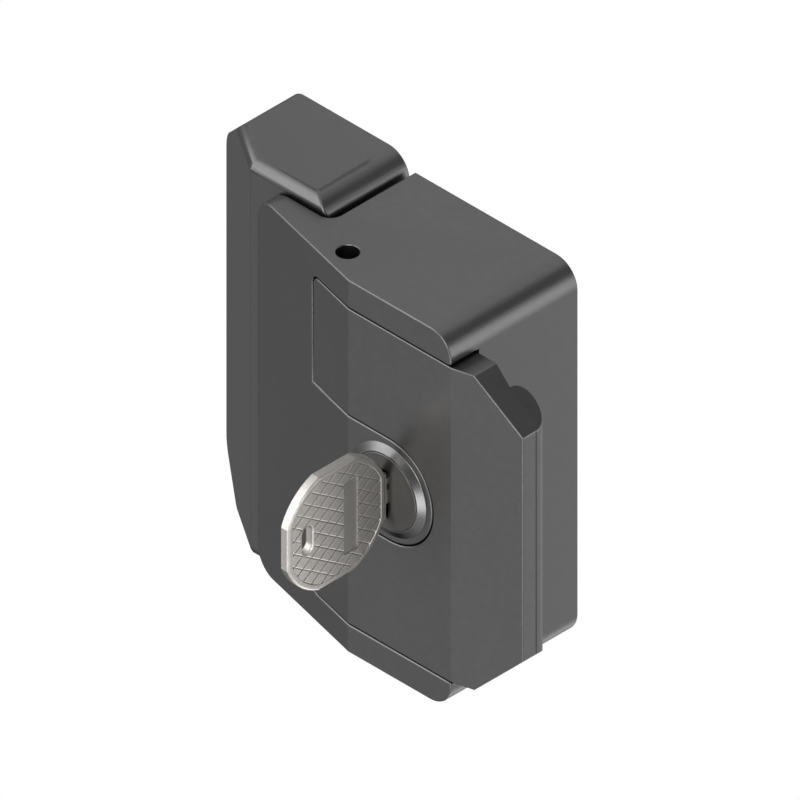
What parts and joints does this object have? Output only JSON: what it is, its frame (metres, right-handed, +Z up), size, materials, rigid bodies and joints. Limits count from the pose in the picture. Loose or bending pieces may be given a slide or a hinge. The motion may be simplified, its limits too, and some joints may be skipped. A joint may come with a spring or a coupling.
{
  "type": "door lock",
  "caption": "Surface-mounted door lock with a sliding front grip, sprung latch bolts, a key-thrown dead bolt and a box keeper.",
  "frame": {"origin": "where the key's axis meets the face of the door, in the plane of the case's back", "axes": "+X from the keeper towards the grip's lip, +Y into the door, +Z up"},
  "size_m": [0.1062, 0.0656, 0.0976],
  "materials": {
    "housing": "dark satin, fine horizontal brushing",
    "steel": "zinc-plated sheet",
    "bolt": "ground and polished",
    "screw": "zinc-plated",
    "spring": "drawn spring wire",
    "ring": "turned bright nickel",
    "plug": "dark satin",
    "wafer": "stamped",
    "key": "nickel silver, cross-hatched field"
  },
  "bodies": {
    "case": {"case_body": "housing", "back_plate": "steel", "back_plate_screws": "screw", "cylinder_barrel": "ring", "barrel_nut": "steel", "bolt_guide": "steel", "bolt_guide_screws": "screw", "spring_guides": "steel", "return_spring_upper": "spring", "return_spring_lower": "spring"},
    "keeper": {"keeper_body": "housing", "strike_plate": "steel", "strike_screws": "screw"},
    "grip": {"grip_slide": "housing", "latch_carrier": "steel", "latch_bolts": "bolt", "carrier_screws": "screw"},
    "plug": {"cylinder_plug": "plug", "wafer_tumblers": "wafer", "crank_disc": "steel", "crank_pin": "bolt", "crank_screw": "screw"},
    "dead_bolt": {"dead_bolt": "bolt"},
    "key": {"key": "key"}
  },
  "joints": [
    {"name": "grip_pull", "type": "slide", "parent": "case", "child": "grip", "axis": [1, 0, 0], "range_m": [0, 0.008], "stiffness_N_per_m": 400, "springref_m": -0.006, "deforming": ["return_spring_upper", "return_spring_lower"]},
    {"name": "key_turn", "type": "hinge", "parent": "case", "child": "plug", "pos_m": [0, 0, 0], "axis": [0, -1, 0], "range_deg": [0, 90]},
    {"name": "dead_bolt_throw", "type": "slide", "parent": "case", "child": "dead_bolt", "axis": [-1, 0, 0], "range_m": [0, 0.0085]},
    {"name": "key_pull", "type": "slide", "parent": "plug", "child": "key", "axis": [0, -1, 0], "range_m": [0, 0.03]},
    {"name": "keeper_apart", "type": "slide", "parent": "case", "child": "keeper", "axis": [-1, 0, 0], "range_m": [0, 0.04]}
  ],
  "couplings": [
    {"joint": "dead_bolt_throw", "follows": "key_turn", "m_per_rad": 0.0054019}
  ]
}
